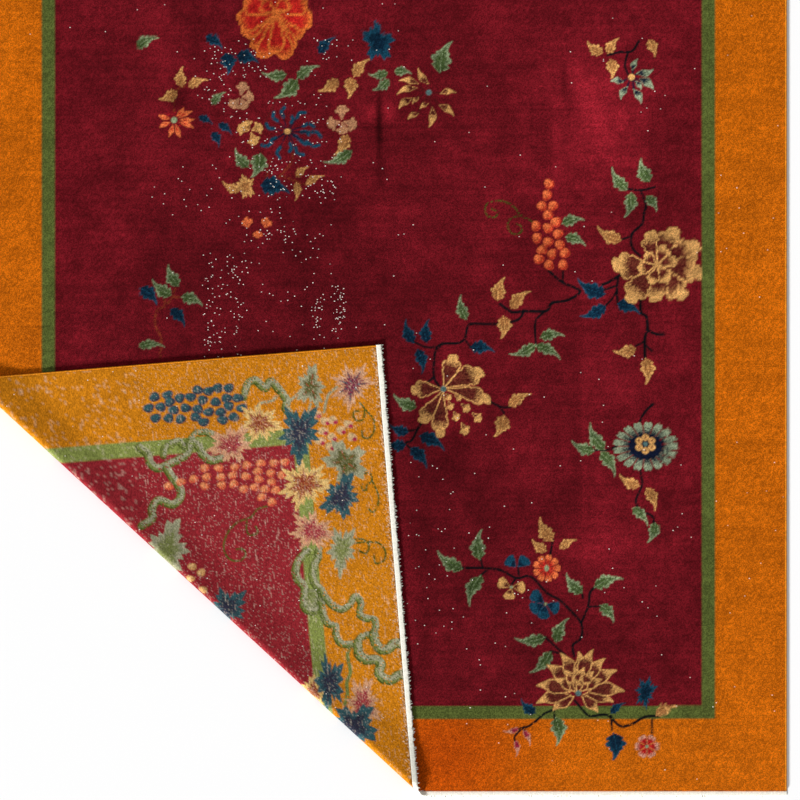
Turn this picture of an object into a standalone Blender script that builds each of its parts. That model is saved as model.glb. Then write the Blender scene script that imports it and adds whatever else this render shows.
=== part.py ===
"""Hand-knotted floor rug with one corner turned over, so that its back shows. Metres, +Z up.

Each piece is drawn flat, in the rug's own plane, as a slab with a height h above the rug's back.
fold_over() then carries every point of it through the fold, so the body, the side cords and the
warp fringes all turn over together.
"""

from math import cos, pi, radians, sin

import bmesh
import bpy
from mathutils import Vector

# ---- the rug, laid flat ----
WIDTH = 2.74  # across, between the outer faces of the two side cords
LENGTH = 3.56  # along the warps, without the fringes
BODY_THICK = 0.008  # knotted pile and its cotton ground together
GAP = 0.0003  # clearance between pieces that are sewn or knotted together

# ---- side cords: bundles of warps wrapped in wool ----
CORD_WIDTH = 0.007
CORD_ROUNDING = 0.002

# ---- fringes: what is left of the warp ends, in small clumps ----
FRINGE_LENGTH = 0.024
FRINGE_THICK = 0.003
HEADING = 0.013  # the solid strip of knotted warps that the clumps hang from
CLUMP_PITCH = 0.020
CLUMP_SPACE = 0.004  # open space between two clumps
CLUMP_TAPER = 0.002  # how much narrower a clump is at each side of its tip

# ---- the turned-over corner ----
FOLD_ANGLE = radians(42.65)  # how far the fold line slopes below the X axis
FOLD_REACH = 1.021  # from the fold's outer edge to where the corner would lie flat
BEND_RADIUS = 0.017  # of the rug's back round the fold
LAYER_GAP = 0.002  # between the flap's pile and the pile that it lies on
OVERTURN = radians(9)  # the bend goes past half a turn by this, and so the flap comes down
SETTLE_RADIUS = 0.35  # of the long curve in which the flap levels out
BEND_CUTS = 32
SETTLE_CUTS = 6

COLOURS = {  # base colour, roughness
    "wool": ((0.30, 0.012, 0.022), 0.85),
    "cord": ((0.62, 0.21, 0.012), 0.85),
    "cotton": ((0.78, 0.74, 0.60), 0.90),
}


def fold_profile():
    """The back's course across the fold: (length, curvature) of each stretch, in order from the base."""
    top = BEND_RADIUS * (1 + cos(OVERTURN))
    rest = 2 * BODY_THICK + LAYER_GAP
    levelling = SETTLE_RADIUS * (1 - cos(OVERTURN))
    ramp = (top - rest - levelling) / sin(OVERTURN)
    return [
        (BEND_RADIUS * (pi + OVERTURN), 1 / BEND_RADIUS),
        (ramp, 0.0),
        (SETTLE_RADIUS * OVERTURN, -1 / SETTLE_RADIUS),
    ]


def across_fold(s):
    """Where the back is after s metres from the start of the bend: (distance across, height, slope angle)."""
    if s <= 0:
        return s, 0.0, 0.0
    p, z, angle = 0.0, 0.0, 0.0
    for length, curvature in [*fold_profile(), (float("inf"), 0.0)]:
        step = min(s, length)
        if curvature:
            turned = angle + step * curvature
            p += (sin(turned) - sin(angle)) / curvature
            z += (cos(angle) - cos(turned)) / curvature
            angle = turned
        else:
            p += step * cos(angle)
            z += step * sin(angle)
        s -= step
        if s <= 0:
            break
    return p, z, angle


ALONG = Vector((cos(FOLD_ANGLE), -sin(FOLD_ANGLE)))
OUTWARD = Vector((-sin(FOLD_ANGLE), -cos(FOLD_ANGLE)))
CORNER = Vector((-WIDTH / 2, -LENGTH / 2))
BEND_START = CORNER.dot(OUTWARD) - FOLD_REACH - BEND_RADIUS


def fold_over(point):
    """Carries a point of the flat rug, with its height above the back in z, to its place."""
    flat = Vector((point.x, point.y))
    p, z, angle = across_fold(flat.dot(OUTWARD) - BEND_START)
    across = BEND_START + p - point.z * sin(angle)
    place = ALONG * flat.dot(ALONG) + OUTWARD * across
    return Vector((place.x, place.y, z + point.z * cos(angle)))


def fold_cuts():
    """The distances from the start of the bend at which the slabs are cut, so that they can bend there."""
    (bend, _), (ramp, _), (settle, _) = fold_profile()
    cuts = [bend * i / BEND_CUTS for i in range(BEND_CUTS + 1)]
    cuts += [bend + ramp + settle * i / SETTLE_CUTS for i in range(SETTLE_CUTS + 1)]
    return cuts


def material(name):
    colour, roughness = COLOURS[name]
    made = bpy.data.materials.new(name)
    made.use_nodes = True
    shader = made.node_tree.nodes["Principled BSDF"]
    shader.inputs["Base Color"].default_value = (*colour, 1.0)
    shader.inputs["Roughness"].default_value = roughness
    shader.inputs["Metallic"].default_value = 0.0
    return made


def cut_at_folds(bm):
    """Cuts a flat slab along the fold line at each place where it bends."""
    normal = Vector((OUTWARD.x, OUTWARD.y, 0.0))
    for s in fold_cuts():
        bmesh.ops.bisect_plane(
            bm,
            geom=bm.verts[:] + bm.edges[:] + bm.faces[:],
            dist=1e-7,
            plane_co=normal * (BEND_START + s),
            plane_no=normal,
        )


def finish(bm, name, finish_name, folded):
    """Bends the slab over if it crosses the fold, and makes an object of it."""
    if folded:
        cut_at_folds(bm)
        for vert in bm.verts:
            vert.co = fold_over(vert.co)
    bmesh.ops.recalc_face_normals(bm, faces=bm.faces)
    mesh = bpy.data.meshes.new(name)
    bm.to_mesh(mesh)
    bm.free()
    mesh.materials.append(material(finish_name))
    made = bpy.data.objects.new(name, mesh)
    bpy.context.scene.collection.objects.link(made)
    return made


def slab(x0, x1, y0, y1, thick):
    """A flat slab with its underside at the rug's back."""
    bm = bmesh.new()
    corners = [bm.verts.new((x, y, 0.0)) for x, y in ((x0, y0), (x1, y0), (x1, y1), (x0, y1))]
    raise_slab(bm, [bm.faces.new(corners)], thick)
    return bm


def raise_slab(bm, faces, thick):
    """Gives flat faces a thickness upwards."""
    made = bmesh.ops.extrude_face_region(bm, geom=faces)
    raised = [item for item in made["geom"] if isinstance(item, bmesh.types.BMVert)]
    bmesh.ops.translate(bm, verts=raised, vec=(0.0, 0.0, thick))


def rug_body():
    half = WIDTH / 2 - CORD_WIDTH - GAP
    bm = slab(-half, half, -LENGTH / 2, LENGTH / 2, BODY_THICK)
    return finish(bm, "rug_body", "wool", folded=True)


def side_cord(name, side):
    """The wrapped cord along one side: a long bar with rounded edges. side is -1 for left and 1 for right."""
    outer, inner = side * WIDTH / 2, side * (WIDTH / 2 - CORD_WIDTH)
    bm = slab(min(outer, inner), max(outer, inner), -LENGTH / 2, LENGTH / 2, BODY_THICK)
    long_edges = [e for e in bm.edges if abs(e.verts[0].co.y - e.verts[1].co.y) > CORD_WIDTH]
    bmesh.ops.bevel(bm, geom=long_edges, offset=CORD_ROUNDING, segments=2, profile=0.5, affect="EDGES")
    return finish(bm, name, "cord", folded=side < 0)


def fringe(name, end):
    """A comb of warp clumps on one end. end is -1 for the near end, which turns over, and 1 for the far end."""
    edge = end * (LENGTH / 2 + GAP)
    heading = edge + end * HEADING
    tip = end * (LENGTH / 2 + FRINGE_LENGTH)
    count = round((WIDTH + CLUMP_SPACE) / CLUMP_PITCH)
    pitch = (WIDTH + CLUMP_SPACE) / count
    bm = bmesh.new()
    faces = []

    def pair(x):
        return bm.verts.new((x, edge, 0.0)), bm.verts.new((x, heading, 0.0))

    last = None
    for i in range(count):
        left = -WIDTH / 2 + i * pitch
        right = left + pitch - CLUMP_SPACE
        a, b = pair(left), pair(right)
        if last:
            faces.append(bm.faces.new((last[0], a[0], a[1], last[1])))
        faces.append(bm.faces.new((a[0], b[0], b[1], a[1])))
        tips = [bm.verts.new((x, tip, 0.0)) for x in (left + CLUMP_TAPER, right - CLUMP_TAPER)]
        faces.append(bm.faces.new((a[1], b[1], tips[1], tips[0])))
        last = b
    raise_slab(bm, faces, FRINGE_THICK)
    return finish(bm, name, "cotton", folded=end < 0)


def main():
    for old in list(bpy.data.objects):
        bpy.data.objects.remove(old)
    rug_body()
    side_cord("side_cord_left", -1)
    side_cord("side_cord_right", 1)
    fringe("fringe_near", -1)
    fringe("fringe_far", 1)


main()
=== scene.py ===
"""A crimson hand-knotted rug with one corner turned over, seen from straight above.

The rug is drawn knot by knot on a flat chart. The chart's dyes then colour two surfaces, the pile and
the back, which are bent over the fold together. So the back shows the same knots as the pile would.
"""

import bpy
import numpy as np
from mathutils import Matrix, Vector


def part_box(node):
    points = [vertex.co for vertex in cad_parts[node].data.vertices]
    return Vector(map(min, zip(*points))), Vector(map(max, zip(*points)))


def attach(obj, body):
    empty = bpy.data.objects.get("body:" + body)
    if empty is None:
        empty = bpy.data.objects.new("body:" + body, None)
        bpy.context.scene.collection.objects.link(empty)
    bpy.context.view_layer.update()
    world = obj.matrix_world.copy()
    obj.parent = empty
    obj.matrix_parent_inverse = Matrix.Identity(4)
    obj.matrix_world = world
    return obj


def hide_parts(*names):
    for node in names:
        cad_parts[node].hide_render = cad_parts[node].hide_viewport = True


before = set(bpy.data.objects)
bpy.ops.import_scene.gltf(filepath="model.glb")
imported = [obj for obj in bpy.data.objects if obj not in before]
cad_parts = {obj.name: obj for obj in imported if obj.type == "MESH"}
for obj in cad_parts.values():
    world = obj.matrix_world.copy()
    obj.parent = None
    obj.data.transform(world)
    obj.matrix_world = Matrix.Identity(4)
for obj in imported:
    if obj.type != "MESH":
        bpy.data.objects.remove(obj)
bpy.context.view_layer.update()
RNG = np.random.default_rng(1930)
SHEEN_RNG = np.random.default_rng(12)  # for the broad unevenness only

# ---- the rug's sizes, from the frame, in metres ----
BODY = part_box("rug_body")[1]
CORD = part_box("side_cord_right")
WIDTH = 2 * CORD[1].x
LENGTH = 2 * BODY.y
THICK = CORD[1].z
CORD_WIDTH = CORD[1].x - CORD[0].x
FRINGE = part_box("fringe_far")
FRINGE_THICK = FRINGE[1].z

# ---- the turned-over corner: these repeat the model's own sizes ----
FOLD_ANGLE = np.radians(42.65)  # how far the fold line slopes below the X axis
FOLD_REACH = 1.021  # from the fold's outer edge to where the corner would lie flat
BEND_RADIUS = 0.017
LAYER_GAP = 0.002  # between the flap's pile and the pile under it
OVERTURN = np.radians(9)
SETTLE_RADIUS = 0.35

# ---- the chart: 3 squares to the centimetre, x to the right and y down ----
SQUARE = 1 / 300
CHART_LEFT = -34.9  # the x of the rug's left edge
CHART_FOOT = 791.1  # the y of its near end
BORDER = 72.0  # width of the orange border
GUARD = 13.0  # width of the green guard band
LEFT_EXTRA = 5.0  # how much wider the left border is than the right one
NEAR_EXTRA = 3.0  # how much wider the near border grows, from NEAR_START to the left over NEAR_RUN
NEAR_START, NEAR_RUN = 400, 150
TURNED_EXTRA = 2.0  # how much wider the guard band is on the turned-over corner
REDDEST_X, REDDEST_Y, REDDEST_REACH = 440, 755, 90  # where the near border is reddest, and how far round
SEEN_LEFT, SEEN_TOP, SEEN_RIGHT, SEEN_FOOT = 138, 34, 660, 770  # the photograph's part of the chart
PICTURE_MIDDLE = (400.0, 400.0)
EDGE = 1.1  # how wide the edge of an outline is blended
OUTSIDE = -9.0  # a depth that is outside any outline

# ---- the knots: the mesh has a point at each, where the rug is seen close ----
BLOCK = 6  # knots along one side of a block of the mesh
BLOCKS_ACROSS = 123
BLOCKS_ALONG = 160
NEAR_STEP, FAR_STEP, HIDDEN_STEP = 1, 2, 6  # knots from one mesh point to the next
BAND_FACES = 92000  # most faces in one band of the pile
KNOT = (0.0030, 0.0030)  # the smallest grain of the pile's colour, in X and Y
BACK_KNOT = (0.0027, 0.0052)  # the same on the back, whose rows lie along Y on the flap
SPECK = (0.0038, 0.0028)  # a worn knot that shows its cotton, in X and Y
UNEVEN = 0.00022  # how much the knots differ in height, in metres
PILE_SWELL = 0.0002  # how much the pile rises and sinks over patches of a few centimetres
TRIM = 0.0003  # how far the pile is clipped below the model's top, and a cord laps over it

BACK_FADE = (0.64, 0.75, 0.79)  # the back's red, green and blue are the pile's, raised to these powers

DYES = {  # in 8-bit sRGB, as the pile shows them
    "crimson": (104, 17, 26),
    "orange": (186, 74, 5),
    "amber": (206, 118, 14),
    "ochre": (160, 112, 8),
    "fern": (88, 118, 50),
    "cord": (238, 146, 34),
    "guard": (86, 96, 44),
    "sage": (130, 144, 108),
    "bottle": (58, 76, 34),
    "navy": (22, 66, 86),
    "midnight": (10, 30, 48),
    "ink": (14, 20, 40),
    "gold": (207, 154, 90),
    "tan": (152, 98, 54),
    "lemon": (200, 160, 88),
    "maroon": (82, 20, 22),
    "russet": (92, 14, 12),
    "wine": (108, 6, 34),
    "moss": (38, 54, 12),
    "coral": (222, 110, 62),
    "flame": (206, 104, 44),
    "salmon": (202, 113, 67),
    "scarlet": (172, 26, 26),
    "mauve": (160, 110, 82),
    "plum": (66, 4, 40),
    "bark": (12, 14, 18),
    "umber": (114, 44, 26),
    "olive": (66, 62, 22),
    "rose": (178, 126, 90),
    "stone": (178, 148, 98),
    "magenta": (132, 20, 50),
    "pale_vine": (116, 128, 100),
    "mid_vine": (72, 96, 42),
    "dark_vine": (32, 58, 14),
    "petrol": (16, 60, 70),
    "slate": (44, 80, 86),
    "pale_sage": (131, 142, 115),
    "blush": (196, 140, 116),
    "teal": (84, 112, 110),
    "cream": (255, 252, 238),
    "bare": (255, 246, 234),
    "undyed": (238, 218, 194),
}
TONES = {  # a motif's main dye, the dye towards its root, and its veins' if it is a vine leaf
    "green": ("sage", "bottle"),
    "navy": ("navy", "midnight"),
    "gold": ("gold", "tan"),
    "lemon": ("lemon", "russet", "blush"),
    "coral": ("coral", "scarlet"),
    "flame": ("flame", "scarlet"),
    "rose": ("rose", "mauve"),
    "peony": ("gold", "maroon"),
    "lotus": ("pale_sage", "ink"),
    "pink": ("blush", "scarlet"),
    "heart": ("scarlet", "crimson"),
    "bud": ("blush", "magenta"),
    "grape": ("stone", "rose"),
    "vine_knot": ("mid_vine", "pale_vine"),
    "vine_coral": ("salmon", "scarlet"),
    "vine_leaf": ("pale_vine", "moss", "umber"),
    "vine_sage": ("pale_vine", "mid_vine", "pale_vine"),
    "vine_navy": ("petrol", "ink", "slate"),
    "vine_rose": ("rose", "wine", "blush"),
    "vine_plum": ("rose", "plum", "petrol"),
}
CLEAR_VEINS = ("vine_leaf", "vine_plum")  # the vine leaves whose veins show well


def linear(dye):
    """An 8-bit sRGB colour, or a dye's name, as linear light."""
    share = np.asarray(DYES[dye] if isinstance(dye, str) else dye) / 255
    return np.where(share < 0.04045, share / 12.92, ((share + 0.055) / 1.055) ** 2.4)


# ======== the fold ========

ALONG = np.array([np.cos(FOLD_ANGLE), -np.sin(FOLD_ANGLE)])
OUTWARD = np.array([-np.sin(FOLD_ANGLE), -np.cos(FOLD_ANGLE)])
BEND_START = OUTWARD @ (-WIDTH / 2, -LENGTH / 2) - FOLD_REACH - BEND_RADIUS
BEND_LENGTH = BEND_RADIUS * (np.pi + OVERTURN)
RAMP_RISE = (
    BEND_RADIUS * (1 + np.cos(OVERTURN)) - (2 * THICK + LAYER_GAP) - SETTLE_RADIUS * (1 - np.cos(OVERTURN))
)
COURSE = (  # length and curvature of each stretch of the back, across the fold
    (BEND_LENGTH, 1 / BEND_RADIUS),
    (RAMP_RISE / np.sin(OVERTURN), 0.0),
    (SETTLE_RADIUS * OVERTURN, -1 / SETTLE_RADIUS),
    (np.inf, 0.0),
)


def across_fold(s):
    """The back s metres past the start of the bend: its distance across, its height and its slope.

    Each stretch is an arc or a straight line, and its end is the next one's start."""
    left = np.maximum(s, 0.0)
    across, height, slope = np.minimum(s, 0.0), np.zeros_like(left), np.zeros_like(left)
    for length, curvature in COURSE:
        step = np.minimum(left, length)
        if curvature:
            turned = slope + step * curvature
            across = across + (np.sin(turned) - np.sin(slope)) / curvature
            height = height + (np.cos(slope) - np.cos(turned)) / curvature
            slope = turned
        else:
            across = across + step * np.cos(slope)
            height = height + step * np.sin(slope)
        left = left - step
    return across, height, slope


def past_bend(x, y):
    """How far points of the flat rug lie past the start of the bend; under 0 they stay on the floor."""
    return x * OUTWARD[0] + y * OUTWARD[1] - BEND_START


def carry(x, y, h):
    """Takes points of the flat rug, h above its back, to their places: along the fold they keep their
    place, and across it they follow the back's course, set off from it by h at a right angle."""
    x, y, h = np.broadcast_arrays(x, y, h)
    along = x * ALONG[0] + y * ALONG[1]
    across, height, slope = across_fold(past_bend(x, y))
    across = BEND_START + across - h * np.sin(slope)
    place = along[..., None] * ALONG + across[..., None] * OUTWARD
    return np.concatenate([place, (height + h * np.cos(slope))[..., None]], -1)


FLAP_LENGTH = np.linspace(BEND_LENGTH / 2, 2.4, 4000)
FLAP_PLACE = across_fold(FLAP_LENGTH)[0]


def laid_flat(x, y):
    """Where points seen on the flap lie in the flat rug."""
    along = x * ALONG[0] + y * ALONG[1]
    s = np.interp(past_bend(x, y), FLAP_PLACE[::-1], FLAP_LENGTH[::-1])
    place = along[..., None] * ALONG + (BEND_START + s)[..., None] * OUTWARD
    return place[..., 0], place[..., 1]


def to_chart(x, y):
    """The chart place of a point of the flat rug."""
    return (x + WIDTH / 2) / SQUARE + CHART_LEFT, CHART_FOOT - (y + LENGTH / 2) / SQUARE


def to_rug(x, y):
    """The point of the flat rug at a chart place."""
    return (x - CHART_LEFT) * SQUARE - WIDTH / 2, (CHART_FOOT - y) * SQUARE - LENGTH / 2


def on_flap(points):
    """Chart places seen on the flap, as the chart places of those knots in the flat rug."""
    x, y = to_rug(*np.asarray(points, float).T)
    return np.stack(to_chart(*laid_flat(x, y)), -1)


# ======== drawing on the chart ========


class Chart:
    """The rug's knots. x and y are the places of its columns and rows in chart squares."""

    def __init__(self, x, y):
        self.x, self.y = x, y
        self.dyes = np.zeros((len(y), len(x), 3))
        self.grain = RNG.random((len(y), len(x)))

    def near(self, points, margin):
        """The patch of knots round some points, and the places of its knots."""
        low, high = np.min(points, 0) - margin, np.max(points, 0) + margin
        rows = slice(*np.searchsorted(-self.y, (-high[1], -low[1])))
        cols = slice(*np.searchsorted(self.x, (low[0], high[0])))
        return (rows, cols), *np.meshgrid(self.x[cols], self.y[rows])

    def lay(self, patch, cover, dye):
        """Blends a dye into a patch, by a cover from 0 to 1."""
        knots = self.dyes[patch]
        knots += cover[..., None] * (linear(dye) - knots)

    def shade(self, patch, cover, amount, tones):
        """Lays a main dye, and its second dye in a scatter of knots that grows with amount."""
        main, second = TONES[tones][:2]
        self.lay(patch, cover, main)
        scatter = amount + 2.8 * (0.5 - self.grain[patch]) * amount * (1 - amount)
        self.lay(patch, cover * np.clip(scatter, 0, 1), second)


def inside(depth):
    """Cover from a depth inside an outline, in squares."""
    return np.clip(0.5 + depth / EDGE, 0, 1)


FORMS = {  # share of the length, share of the half width
    "leaf": (
        (0.00, 0.05), (0.08, 0.52), (0.18, 0.90), (0.24, 0.62), (0.34, 1.02), (0.43, 0.96), (0.48, 0.60),
        (0.57, 0.66), (0.63, 0.36), (0.78, 0.22), (0.92, 0.12), (1.00, 0.00),
    ),
    "petal": (
        (0.00, 0.05), (0.20, 0.55), (0.45, 1.00), (0.60, 0.88), (0.76, 0.46), (0.90, 0.20), (1.00, 0.00),
    ),
    "blade": (
        (0.00, 0.05), (0.18, 0.50), (0.40, 1.00), (0.55, 0.82), (0.70, 0.46), (0.85, 0.24), (1.00, 0.00),
    ),
    "knobbed": (
        (0.00, 0.06), (0.15, 0.26), (0.35, 0.56), (0.50, 0.88), (0.55, 0.78), (0.63, 1.00), (0.73, 0.98),
        (0.79, 0.74), (0.81, 0.52), (0.90, 0.54), (0.96, 0.40), (1.00, 0.00),
    ),
    "lobed": (
        (0.00, 0.10), (0.20, 0.26), (0.42, 0.50), (0.52, 0.98), (0.66, 1.00), (0.74, 0.60), (0.82, 0.62),
        (0.92, 0.54), (1.00, 0.00),
    ),
    "round": (
        (0.00, 0.10), (0.20, 0.42), (0.45, 0.80), (0.52, 0.76), (0.65, 1.00), (0.78, 0.98), (0.84, 0.84),
        (0.88, 0.80), (0.95, 0.56), (1.00, 0.00),
    ),
}


def ramp_to(value, top):
    """Rises from 0 to 1 while value goes from 0 to top."""
    return np.clip(value / top, 0, 1)


def leaf(chart, base, tip, wide, tones, form, hook, rim, heart):
    """A leaf or petal on the line from base to tip, t being 0 at the base and 1 at the tip.

    Half its width at each t is read from its form, and on its far side from 0.05 before t. Its middle
    swings to the left of the line, and its tip back, by hook * length * (t**3 - t). With a rim, the
    second dye fills all inside the rim as far as the heart. Without one it fills the base, by
    1.5 * depth / half width - 1.6 * t + 0.6, and leaves a thin rib."""
    base, tip = np.asarray(base, float), np.asarray(tip, float)
    length = np.hypot(*(tip - base))
    run = (tip - base) / length
    patch, x, y = chart.near([base, tip], wide)
    t = ((x - base[0]) * run[0] + (y - base[1]) * run[1]) / length
    side = (y - base[1]) * run[0] - (x - base[0]) * run[1] - hook * length * (t**3 - t)
    share, half_share = np.transpose(FORMS[form])
    half = wide / 2 * np.interp(t - 0.05 * (side > 0), share, half_share)
    depth = np.where((t > 0) & (t < 1), half - np.abs(side), OUTSIDE)
    if rim:
        amount = np.clip((heart - t) / 0.22 + 0.5, 0, 0.97) * ramp_to(depth - rim, 0.7)
    else:
        inward = depth / np.maximum(half, 0.1)
        amount = np.clip(1.5 * inward - 1.6 * t + 0.60, 0.06, 0.94)
        amount *= np.where(t < 0.6, 0.35 + 0.65 * ramp_to(np.abs(side) - 0.1, 0.6), 1.0)
    chart.shade(patch, inside(depth), amount, tones)


BLOSSOM_HOOK, BLOSSOM_HEART = 0.12, 0.46


def blossom(chart, centre, tips, wide, tones, eye, eye_radius, form, rim, start):
    """A flower of petals that start a share of the way out from its centre, with a round eye or none."""
    centre = np.asarray(centre, float)
    for i, tip in enumerate(tips):
        base = centre + start * (np.asarray(tip) - centre)
        hook = BLOSSOM_HOOK if i % 2 else -BLOSSOM_HOOK
        leaf(chart, base, tip, wide, tones, form, hook, rim, BLOSSOM_HEART)
    if eye:
        dot(chart, centre, eye_radius, eye_radius, eye)


def rosette(chart, centre, radius_x, radius_y, petals, tones, heart, gap=0.5):
    """A round flower of petals with notched ends. Seen from its centre, its edge is at
    0.95 + 0.05 * |sin(petals * angle)| of its radius, less 0.16 * |sin(petals * angle / 2)|**6 between
    two petals. Past the gap they part along thin lines. The second dye fills it out to the heart."""
    patch, x, y = chart.near([centre], 1.1 * max(radius_x, radius_y) + 2)
    along, over = (x - centre[0]) / radius_x, (y - centre[1]) / radius_y
    angle, reach = np.arctan2(over, along), np.hypot(along, over)
    part = np.abs(np.cos(petals * angle / 2)) * 2 / petals * reach * min(radius_x, radius_y)
    edge = 0.95 + 0.05 * np.abs(np.sin(petals * angle)) - 0.16 * np.abs(np.sin(petals * angle / 2)) ** 6
    cover = inside((edge - reach) * min(radius_x, radius_y))
    cover = cover * np.where(reach > gap, ramp_to(part - 0.15, 0.9), 1.0)
    chart.shade(patch, cover, ramp_to(heart + 0.16 - reach, 0.32), tones)


def ring(centre, radius_x, radius_y, count, turn):
    """Points spaced evenly round an ellipse."""
    angle = turn + 2 * np.pi * np.arange(count) / count
    return np.asarray(centre) + np.stack([radius_x * np.cos(angle), radius_y * np.sin(angle)], -1)


def dot(chart, centre, radius_x, radius_y, dye):
    """An ellipse: its depth is (1 - distance / radius) of the smaller radius."""
    patch, x, y = chart.near([centre], max(radius_x, radius_y) + 2)
    reach = np.hypot((x - centre[0]) / radius_x, (y - centre[1]) / radius_y)
    chart.lay(patch, inside((1 - reach) * min(radius_x, radius_y)), dye)


def berry(chart, centre, radius_x, radius_y, tones):
    """An oval fruit, its second dye on the side away from the light and round its rim. Its edge is at
    1 + 0.06 * cos(2 * angle) + 0.07 * cos(3 * angle), each turned at random."""
    patch, x, y = chart.near([centre], radius_y + 3)
    along, over = (x - centre[0]) / radius_x, (y - centre[1]) / radius_y
    angle = np.arctan2(over, along)
    first, second = RNG.uniform(0, 2 * np.pi, 2)
    edge = 1 + 0.06 * np.cos(2 * angle + first) + 0.07 * np.cos(3 * angle + second)
    reach = np.hypot(along, over) / edge
    amount = np.clip(0.24 + 0.4 * (along + over) + 0.4 * (reach > 0.72), 0, 0.9)
    chart.shade(patch, inside((1 - reach) * radius_x), amount, tones)


def wave(turns):
    """A triangular wave from 0 to 1, with a peak at each whole number."""
    return 2 * np.abs((turns % 1.0) - 0.5)


def star_leaf(chart, centre, radius_x, radius_y, tones, turn, points):
    """A vine leaf with long pointed lobes and pointed teeth on their flanks.

    Seen from its centre, its edge is at 0.46 + 0.40 * lobes**1.1 + 0.27 * teeth**1.2 of its radius, made
    uneven by two slow cosines. lobes is a triangular wave with a peak at each point, and teeth is one
    three times as fast. The second dye runs out from the middle in streaks, with a thin vein in each
    lobe."""
    patch, x, y = chart.near([centre], 1.3 * max(radius_x, radius_y))
    along, over = (x - centre[0]) / radius_x, (y - centre[1]) / radius_y
    angle = np.arctan2(over, along) + turn
    turns = points * angle / (2 * np.pi)
    uneven = 1 + 0.13 * np.cos(2 * angle + 5 * turn) + 0.10 * np.cos(3 * angle + turn)
    edge = uneven * (0.46 + 0.40 * wave(turns) ** 1.1 + 0.27 * wave(3 * turns + 0.3 * turn) ** 1.2)
    reach = np.hypot(along, over)
    radius = min(radius_x, radius_y)
    streak = wave(points * 3 * angle / (2 * np.pi))
    amount = np.clip(2.4 - 3.2 * reach / edge, 0, 1) * (0.74 + 0.4 * streak) + 0.03
    chart.shade(patch, inside((edge - reach) * radius * 0.8), np.minimum(amount, 0.92), tones)
    from_vein = (1 - wave(turns)) * np.pi / points * reach * radius
    vein_half = 0.6 if tones in CLEAR_VEINS else 0.1
    on_vein = inside(vein_half - from_vein) * (reach > 0.15 * edge) * (reach < 0.6 * edge)
    for vein in TONES[tones][2:]:
        chart.lay(patch, on_vein * (chart.grain[patch] > 0.4), vein)


def smooth(points):
    """A curve through the points: each stretch is a cubic whose end slopes are half the line between
    the points on either side."""
    points = np.asarray(points, float)
    whole = np.vstack([2 * points[0] - points[1], points, 2 * points[-1] - points[-2]])
    a, b, c, d = (whole[i : len(whole) - 3 + i, None] for i in range(4))
    t = np.linspace(0, 1, 7)[None, :-1, None]
    curve = b + 0.5 * ((c - a) * t + (2 * a - 5 * b + 4 * c - d) * t**2 + (3 * b - a - 3 * c + d) * t**3)
    return np.vstack([curve.reshape(-1, 2), points[-1:]])


DRAWN_AT_ONCE = 12  # stretches of a line


def stroke(chart, points, wide, dye, broken):
    """A line of one width along a smooth curve: a knot's depth is half the width less its distance to
    the nearest stretch. broken is the share of knots that are left out."""
    path = smooth(points)
    for start in range(0, len(path) - 1, DRAWN_AT_ONCE):
        part = path[start : start + DRAWN_AT_ONCE + 1]
        patch, x, y = chart.near(part, wide + 2)
        begin, run = part[:-1], np.diff(part, axis=0)
        gap_x, gap_y = x[..., None] - begin[:, 0], y[..., None] - begin[:, 1]
        share = (gap_x * run[:, 0] + gap_y * run[:, 1]) / np.maximum((run**2).sum(1), 1e-9)
        share = np.clip(share, 0, 1)
        away = np.hypot(gap_x - share * run[:, 0], gap_y - share * run[:, 1]).min(-1)
        kept = chart.grain[patch] >= broken
        chart.lay(patch, inside(wide / 2 - away) * kept, dye)


VINE_STRANDS = (  # shift across and down as seen on the flap, share of the width, dye, knots left out
    ((-0.3, 0.4), 1.02, "dark_vine", 0.05),
    ((0.3, -0.4), 0.80, "mid_vine", 0.15),
    ((1.2, -1.5), 0.50, "pale_vine", 0.20),
)


def vine(chart, points, wide):
    """A thick stem, dark along its lower left side and pale along its upper right as seen on the flap."""
    for shift, share, dye, broken in VINE_STRANDS:
        stroke(chart, on_flap(np.add(points, shift)), share * wide, dye, broken)


def mottle(chart, across, along):
    """Smooth random values from -1 to 1: random numbers on a coarse net, eased from one to the next."""

    def weights(count, cells):
        place = np.linspace(0, cells, count)
        low = np.minimum(place.astype(int), cells - 1)
        share = place - low
        share = share * share * (3 - 2 * share)
        table = np.zeros((count, cells + 1))
        table[np.arange(count), low] = 1 - share
        table[np.arange(count), low + 1] = share
        return table

    net = SHEEN_RNG.uniform(-1, 1, (along + 1, across + 1))
    return weights(len(chart.y), along) @ net @ weights(len(chart.x), across).T


# ======== the design, in chart squares ========

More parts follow.
